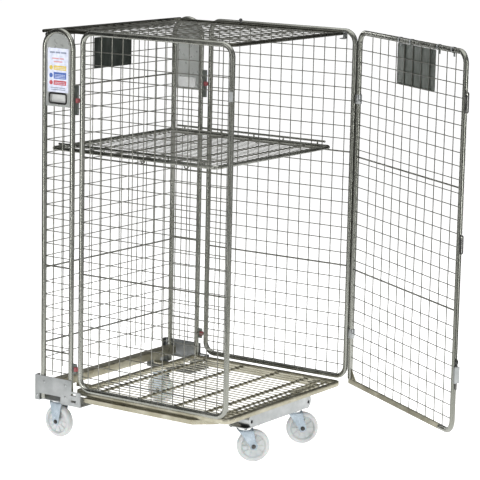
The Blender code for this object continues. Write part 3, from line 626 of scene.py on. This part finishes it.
def tyre(shape, axle):
    """A nylon wheel: a crowned tread, dished faces and ribs between hub and rim."""
    half = WHEEL_W / 2
    profile = [(0.0062, half + 0.0015), (0.0155, half + 0.0015), (0.0175, half - 0.0005),
               (0.0205, half - 0.0075), (0.0330, half - 0.0092), (0.0430, half - 0.0085),
               (0.0465, half - 0.0020), (0.0490, half - 0.0005), (0.0545, half - 0.0010),
               (0.0590, half - 0.0040), (0.0613, half - 0.0085), (0.0623, half * 0.30),
               (WHEEL_R, 0.0)]
    shape.lathe(profile + [(r, -h) for r, h in profile[-2::-1]], axle, X, 64)
    for k in range(RIBS):
        angle = 2 * math.pi * k / RIBS
        for face in (-1, 1):
            out = Vector((0, math.cos(angle), math.sin(angle)))
            across = Vector((0, -math.sin(angle), math.cos(angle))) * 0.0011
            deep, proud = X * face * (half - 0.0110), X * face * (half - 0.0056)
            rings = []
            for r in (HUB_RING, RIM_RING):
                middle = axle + out * r
                rings.append([middle - across + deep, middle + across + deep,
                              middle + across + proud, middle - across + proud])
            shape.skin(rings)


def castor(name, stem, trail, turn, body, wheel_body):
    """A castor under stem, its wheel trailing behind the swivel, turned about the swivel."""
    x, y, top = stem
    place = Matrix.Translation((x, y, 0)) @ Matrix.Rotation(turn, 4, "Z")
    crown = top - 0.0036
    shape = Shape()
    castor_fork(shape, crown - 0.008, trail)
    shape.done(name + "_fork_pressing", FORK, body, name + "_fork", slot="zinc_sheet",
               place=place, bevel=0.0005)
    shape = Shape()
    shape.lathe([(0.010, crown - 0.0155), (0.026, crown - 0.0155), (0.0305, crown - 0.012),
                 (0.0315, crown - 0.008), (0.0315, crown - 0.005), (0.0285, crown - 0.002),
                 (0.024, crown), (0.010, crown)], (0, 0, 0), Z, 40)
    shape.lathe([(TIP, crown - 0.024), (0.0075, crown - 0.024), (0.0085, crown - 0.019),
                 (0.0085, crown - 0.012), (TIP, crown - 0.012)], (0, 0, 0), Z, 6)
    shape.done(name + "_raceway", CHROME, body, slot="zinc_sheet", place=place)

    axle = Vector((0, -trail, WHEEL_R))
    half = WHEEL_W / 2
    shape = Shape()
    tyre(shape, axle)
    shape.done(name + "_tyre", NYLON, wheel_body, name + "_wheel", slot="white_nylon",
               place=place, bevel=0.0003)
    shape = Shape()
    for face in (-1, 1):
        shape.lathe([(0.0060, half + 0.0012), (0.0118, half + 0.0012), (0.0118, half + 0.0024),
                     (0.0060, half + 0.0028)], axle, X * face, 28)
    shape.done(name + "_hub_cap", HUB, wheel_body, slot="white_nylon", place=place)

    shape = Shape()
    tip, washer_r, washer = FORK_LEG_X + 0.001, 0.0088, 0.0010
    shape.rod(axle - X * tip, axle + X * tip, 0.0052, 16)
    for face in (-1, 1):
        shape.lathe([(TIP, FORK_LEG_X - 0.0004), (washer_r, FORK_LEG_X - 0.0004),
                     (washer_r, FORK_LEG_X + washer), (TIP, FORK_LEG_X + washer)],
                    axle, X * face, 24)
        shape.hexagon(axle + X * face * (FORK_LEG_X + washer), X * face, 0.0125, 0.0032)
    shape.done(name + "_axle_bolt", STEEL, body, name + "_axle", slot="bolt_steel", place=place,
               bevel=0.0003)


def over(node_name, z):
    """The point at height z over the middle of a node."""
    low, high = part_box(node_name)
    return Vector(((low.x + high.x) / 2, (low.y + high.y) / 2, z))


for side, name in SIDES:
    stem = over(f"front_{name}_castor_plate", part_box("front_crossbar")[0].z)
    castor(f"front_{name}_castor", stem, FRONT_TRAIL, math.radians(40), f"front_{name}_swivel",
           f"front_{name}_wheel")
    dress(f"front_{name}_castor_plate", SHEET, 0.0006)
    plate_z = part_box(f"front_{name}_castor_plate")[0].z
    shape = Shape()
    for dx, dy in ((-0.040, 0.033), (0.040, 0.033), (-0.040, -0.033), (0.040, -0.033)):
        shape.hexagon(Vector((stem.x + dx, stem.y + dy, plate_z)), -Z, 0.0115, 0.0045)
    shape.done(f"front_{name}_castor_bolts", STEEL, "base", slot="bolt_steel")
    castor(f"rear_{name}_castor", over(f"rear_{name}_castor_wheel", BASE_Z - 0.070), 0.0, 0.0,
           "base", f"rear_{name}_wheel")

# ---- Deck, lid and shelf ----

def level_loop(half, front, back, radius, z):
    return [(p.x, FRONT + p.y, z) for p in loop(-half, half, front, back, radius)]


def long_wires(half, front, back, z, radius, sides):
    """Wires from front to back, which share the width in equal gaps."""
    shape = Shape()
    for k in range(1, LONG_GAPS):
        x = -half + 2 * half * k / LONG_GAPS
        shape.rod((x, FRONT + front, z), (x, FRONT + back, z), radius, sides)
    return shape


def deck():
    half, front = HALF - 0.0265, 0.014
    inset, bar_z = 0.008, DECK_Z + 0.0021
    shape = Shape()
    shape.sweep(level_loop(half, front, DECK_BACK, 0.020, DECK_Z), flat_bar(0.019, 0.019, 0.003),
                Z, True)
    shape.done("deck_rail", OLIVE, "deck", "deck_frame", slot="yellow_passivate")
    shape = long_wires(half, front + inset, DECK_BACK - inset, DECK_Z + 0.0071, 0.0022, 10)
    shape.done("deck_wires", OLIVE_BRIGHT, "deck", "deck_mesh", slot="yellow_passivate")
    shape = Shape()
    for width, bars in ((0.016, (0.150, 0.290, 0.460, 0.640)), (0.010, (0.052, 0.084))):
        for y in bars:
            shape.sweep([(-half + inset, FRONT + y, bar_z), (half - inset, FRONT + y, bar_z)],
                        flat_bar(width, 0.0056, 0.001), Z)
    shape.done("deck_cross_bars", OLIVE_DARK, "deck", slot="yellow_passivate")


def lid():
    half, back, front = HALF - 0.0305, 0.833, 0.024
    z, deep = TOP_Z - 0.004, back - front
    shape = Shape()
    shape.tube(level_loop(half, front, back, 0.030, z), 0.007, Z, True)
    shape.done("lid_tube", DULL_TUBE, "lid", "lid_frame", slot="zinc_tube")
    shape = lattice(Vector((-half, FRONT + front, z)), X, Y,
                    [2 * half * k / 15 for k in range(1, 15)],
                    [deep * k / 16 for k in range(1, 16) if k % 4],
                    (2 * half, deep), [deep * k / 4 for k in (1, 2, 3)], 1, thin=0.0015)
    shape.done("lid_wires", WIRE, "lid", "lid_mesh", slot="zinc_wire")
    low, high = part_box("lid_knob")
    ball_z = (low.z + high.z + 0.006) / 2
    ball = [(0.0070 * math.sin(a), ball_z - 0.0062 * math.cos(a))
            for a in (math.radians(28 + 16.5 * k) for k in range(9))]
    shape = Shape()
    shape.lathe([(TIP, low.z), (0.0048, low.z), (0.0042, low.z + 0.003), (0.0030, low.z + 0.0055)]
                + ball + [(TIP, high.z)], over("lid_knob", 0), Z, 24)
    shape.done("lid_ball_knob", BLACK, "lid", "lid_knob", slot="bolt_steel")
    dress("lid_catch", SHEET, 0.0008)


def shelf():
    """A tube frame with a lip on posts along each side, small hooks under it, and its mesh."""
    half, back, front = HALF - 0.0305, 0.843, 0.085
    z, lip, hook_r = BASE_Z + 0.910, 0.019, 0.011
    shape = Shape()
    shape.tube(level_loop(half, front, back, 0.012, z), 0.0075, Z, True)
    for side, _ in SIDES:
        x = side * half
        shape.rod((x, FRONT + front + 0.02, z + lip), (x, FRONT + 0.815, z + lip), 0.0042, 14)
        for y in (0.14, 0.30, 0.44, 0.60, 0.78):
            shape.rod((x, FRONT + y, z), (x, FRONT + y, z + lip), 0.0032, 12)
        for y in (0.22, 0.42):
            shape.tube([(x - side * 0.004, FRONT + y + 0.010 * math.cos(a),
                         z - 0.006 - hook_r * math.sin(a))
                        for a in (math.radians(18 * k) for k in range(11))], 0.0024, X)
    shape.done("shelf_tube", TUBE, "shelf", "shelf_frame", slot="zinc_tube")
    shape = long_wires(half, front, back, z + 0.0017, 0.0015, 8)
    for y in (0.190, 0.300, 0.440, 0.575, 0.710):
        shape.rod((-half, FRONT + y, z - 0.0024), (half, FRONT + y, z - 0.0024), 0.0030, 10)
    shape.done("shelf_wires", WIRE, "shelf", "shelf_mesh", slot="zinc_wire")


deck()
lid()
shelf()

# ---- Door ----

DOOR_BOTTOM = -0.012
CATCHES = (("top", 1.215, 0.066), ("middle", 0.706, 0.060))     # height and length of the loops


def door_point(u, rise, out=0.0):
    """A point of the closed door, u from its hinge, rise up and out in front of it."""
    return Vector((HALF - u, FRONT - DOOR_OFFSET - out, BASE_Z + rise))


def door_leaf():
    path = rounded([(0, DOOR_BOTTOM + 0.0105, 0), (0, PANEL_HEIGHT, CORNER_R),
                    (WIDTH, PANEL_HEIGHT, CORNER_R), (WIDTH, DOOR_BOTTOM, CORNER_R),
                    (WIDTH - 0.09, DOOR_BOTTOM, 0), (0.4, 0.4, 0)], 10)[:-1]
    shape = Shape()
    shape.tube([door_point(p.x, p.y) for p in path], TUBE_R, Y)
    for _, rise, _ in CATCHES:
        shape.lathe([(TIP, 0.006), (0.0018, 0.006), (0.0018, 0.0188), (0.0050, 0.0190),
                     (0.0046, 0.0204), (TIP, 0.0211)], door_point(WIDTH, rise), -X, 18)
    shape.done("door_tube", TUBE, "door", "door_frame", slot="zinc_tube", place=DOOR)
    dress("door_bottom_rail", OLIVE_DARK, 0.0008)
    columns = [(0.095 + 0.06 * k) * 1.069 - REACH for k in range(11)]
    rows = [r - DOOR_BOTTOM for r in clear_of(spaced(DOOR_BOTTOM + 0.050, 0.0483, 28), DOOR_RODS)
            if r < PANEL_HEIGHT - 0.02]
    shape = lattice(door_point(REACH, DOOR_BOTTOM), -X, Z, columns, rows,
                    (WIDTH - 2 * REACH, PANEL_HEIGHT - DOOR_BOTTOM),
                    [r - DOOR_BOTTOM for r in DOOR_RODS], -1)
    shape.done("door_wires", WIRE, "door", "door_mesh", slot="zinc_wire", place=DOOR)
    name_plate("door_name_plate", PLATE_LIGHT, DOOR, door_point(0.592, 1.198, 0.0034), X, 0.290,
               0.150, "door", -Y)


def door_clips():
    """Sheet clips round the top tube, each with a tab down to the mesh."""
    shape = Shape()
    inner, outer = TUBE_R + 0.0002, TUBE_R + 0.0014
    for share in (0.40, 0.51, 0.76, 0.89):
        clip = door_point(WIDTH * share, PANEL_HEIGHT)
        shape.lathe([(inner, -0.006), (outer, -0.0064), (outer, 0.0064), (inner, 0.006)],
                    clip, X, 24)
        shape.box(clip + Vector((-0.006, -0.0030, -0.024)),
                  clip + Vector((0.006, -0.0015, -0.009)))
    shape.done("door_clips", SHEET, "door", slot="zinc_sheet", place=DOOR, bevel=0.0003)


def door_knuckle(name, rise):
    """A sleeve round the door's tube, with a web to the side panel that carries it."""
    centre = door_point(0, rise)
    tall, ease = 0.018, 0.0172
    shape = Shape()
    shape.lathe([(TUBE_R + GAP, -tall), (0.0128, -tall), (0.0133, -ease), (0.0133, ease),
                 (0.0128, tall), (TUBE_R + GAP, tall)], centre, Z, 32)
    shape.box(centre + Vector((-0.002, 0.0112, -tall)),
              centre + Vector((0.0125, DOOR_OFFSET - 0.004, tall)))
    shape.done(f"door_{name}_knuckle", SHEET, "right_panel", f"door_{name}_sleeve",
               slot="zinc_sheet", bevel=0.0004)


def catch_loop(name, rise, length):
    pin = door_point(WIDTH + 0.0161, rise)
    outline = rounded([(0.0055, 0.0055, 0.005), (0.006, -length, 0.005),
                       (-0.006, -length, 0.005), (-0.0055, 0.0055, 0.005)], 5)
    shape = Shape()
    shape.tube([pin + Y * p.x + Z * p.y for p in outline], 0.0025, X, True, 12)
    shape.done(f"door_{name}_catch_loop", STEEL, f"{name}_catch", f"door_{name}_catch",
               slot="bolt_steel", place=DOOR)


def shoot_bolt():
    """The drop bolt beside the door's edge, with a collar near its top."""
    foot = door_point(WIDTH + TUBE_R + GAP + 0.006, 0)
    shape = Shape()
    shape.lathe([(TIP, 0.150), (0.0030, 0.150), (0.0040, 0.153), (0.0040, 0.259),
                 (0.0030, 0.262), (TIP, 0.262)], foot, Z, 20)
    shape.lathe([(TIP, 0.0), (0.0052, 0.0), (0.0062, 0.002), (0.0062, 0.010), (0.0050, 0.012),
                 (TIP, 0.012)], foot + Z * 0.246, Z, 20)
    shape.done("door_shoot_bolt", STEEL, "drop_bolt", "door_drop_bolt", slot="bolt_steel",
               place=DOOR)


door_leaf()
door_clips()
for name, rise in (("upper", 1.103), ("lower", 0.180)):
    door_knuckle(name, rise)
for name, rise, length in CATCHES:
    catch_loop(name, rise, length)
dress("door_bolt_guide", SHEET, 0.0008)
dress("door_keeper", SHEET, 0.0006)
shoot_bolt()

# ---- Floor, light and camera ----

def stage_sheet(name, corners, mat):
    """A flat sheet of the studio, which isn't part of the object."""
    mesh = bpy.data.meshes.new(name)
    mesh.from_pydata(corners, [], [(0, 1, 2, 3)])
    mesh.materials.append(mat)
    sheet = bpy.data.objects.new(name, mesh)
    bpy.context.scene.collection.objects.link(sheet)
    return sheet


FLOOR = surface("pale_floor", [(0.90, 0.90, 0.90), (0.92, 0.92, 0.92), (0.94, 0.94, 0.94)],
                (0.6, 0.7), metallic=0.0, grain=30, bump=0.01, cloud=2, Emission_Strength=0.50,
                Emission_Color=(1, 1, 1, 1), Specular_IOR_Level=0.2)
stage_sheet("floor", [(-60, -60, 0), (60, -60, 0), (60, 60, 0), (-60, 60, 0)], FLOOR)

# Dark flags round the object give the tubes their streaks. Only reflections see them.
FLAG_CLOTH = surface("matt_flag", [(0.010, 0.010, 0.010), (0.014, 0.014, 0.014),
                                   (0.020, 0.020, 0.020)],
                     (0.8, 0.9), metallic=0.0, grain=30, bump=0.01, cloud=3)
FLAGS, FLAG_RING, FLAG_SHARE = 7, 2.1, 0.68
FLAG_LOW, FLAG_HIGH = 0.02, 3.2
for k in range(FLAGS):
    start, end = (2 * math.pi * (k + share) / FLAGS + 0.25 for share in (0.0, FLAG_SHARE))
    (x0, y0), (x1, y1) = ((FLAG_RING * math.cos(a), FLAG_RING * math.sin(a))
                          for a in (start, end))
    flag = stage_sheet(f"flag_{k}", [(x0, y0, FLAG_LOW), (x1, y1, FLAG_LOW), (x1, y1, FLAG_HIGH),
                                     (x0, y0, FLAG_HIGH)], FLAG_CLOTH)
    flag.visible_camera = False
    flag.visible_diffuse = False
    flag.visible_shadow = False
    flag.visible_transmission = False

world = bpy.data.worlds.new("studio")
bpy.context.scene.world = world
world.use_nodes = True
tree = world.node_tree
sky = tree.nodes["Background"]
direction = node(tree, "ShaderNodeTexCoord").outputs["Generated"]
split = node(tree, "ShaderNodeSeparateXYZ")
tree.links.new(direction, split.inputs["Vector"])


def math_node(operation, *values):
    made = node(tree, "ShaderNodeMath", operation=operation)
    for socket, value in zip(made.inputs, values):
        if isinstance(value, float):
            socket.default_value = value
        else:
            tree.links.new(value, socket)
    return made.outputs["Value"]


# Dark and bright walls round the studio give streaks in the metal, under a white ceiling. Only
# a camera nearly level with the floor has them in view.
azimuth = math_node("ARCTAN2", split.outputs["Y"], split.outputs["X"])
bands = math_node("SINE", math_node("MULTIPLY_ADD", azimuth, 5.0, 0.6))
walls = ramp(tree, math_node("MULTIPLY_ADD", bands, 0.5, 0.5),
             [(0.28, (0.10, 0.10, 0.10)), (0.60, (1.0, 1.0, 1.0))])
ceiling = ramp(tree, split.outputs["Z"], [(0.25, (0, 0, 0)), (0.75, (1, 1, 1))])
lit = node(tree, "ShaderNodeMixRGB", blend_type="LIGHTEN")
lit.inputs["Fac"].default_value = 1.0
tree.links.new(walls, lit.inputs["Color1"])
tree.links.new(ceiling, lit.inputs["Color2"])
tree.links.new(lit.outputs["Color"], sky.inputs["Color"])
sky.inputs["Strength"].default_value = 0.70


def area_light(name, where, aim_z, size, power):
    """A softbox that looks at the object's axis at height aim_z."""
    data = bpy.data.lights.new(name, "AREA")
    data.shape = "RECTANGLE"
    data.size, data.size_y = size
    data.energy = power
    obj = bpy.data.objects.new(name, data)
    obj.location = where
    obj.rotation_euler = (Z * aim_z - Vector(where)).to_track_quat("-Z", "Y").to_euler()
    bpy.context.scene.collection.objects.link(obj)


area_light("top_softbox", (0.0, 0.0, 4.2), 0.6, (4.0, 4.0), 60)
for name, x, y, power in (("left", -3.6, 0.6, 60), ("front", -1.2, -4.0, 60),
                          ("right", 3.4, -1.8, 45), ("back", 1.5, 3.8, 45)):
    area_light(name + "_strip", (x, y, 1.7), 0.8, (0.50, 3.4), power)

AZIMUTH, ELEVATION, ROLL = (math.radians(a) for a in (55.289, 10.621, 1.198))
EYE = Vector((-6.8279, FRONT - 4.4815, BASE_Z + 2.0741))
forward = Vector((math.sin(AZIMUTH) * math.cos(ELEVATION),
                  math.cos(AZIMUTH) * math.cos(ELEVATION), -math.sin(ELEVATION)))
right = Vector((math.cos(AZIMUTH), -math.sin(AZIMUTH), 0))
upward = right.cross(forward)
side_axis = right * math.cos(ROLL) + upward * math.sin(ROLL)
up_axis = upward * math.cos(ROLL) - right * math.sin(ROLL)
view = bpy.data.cameras.new("camera")
view.sensor_width = 36
view.lens = 166.2
view.shift_x, view.shift_y = 0.0067, 0.0315
view.clip_end = 300
camera = bpy.data.objects.new("camera", view)
turn = Matrix((side_axis, up_axis, -forward)).transposed().to_4x4()
camera.matrix_world = Matrix.Translation(EYE) @ turn
bpy.context.scene.collection.objects.link(camera)
bpy.context.scene.camera = camera
bpy.context.scene.view_settings.view_transform = "Standard"
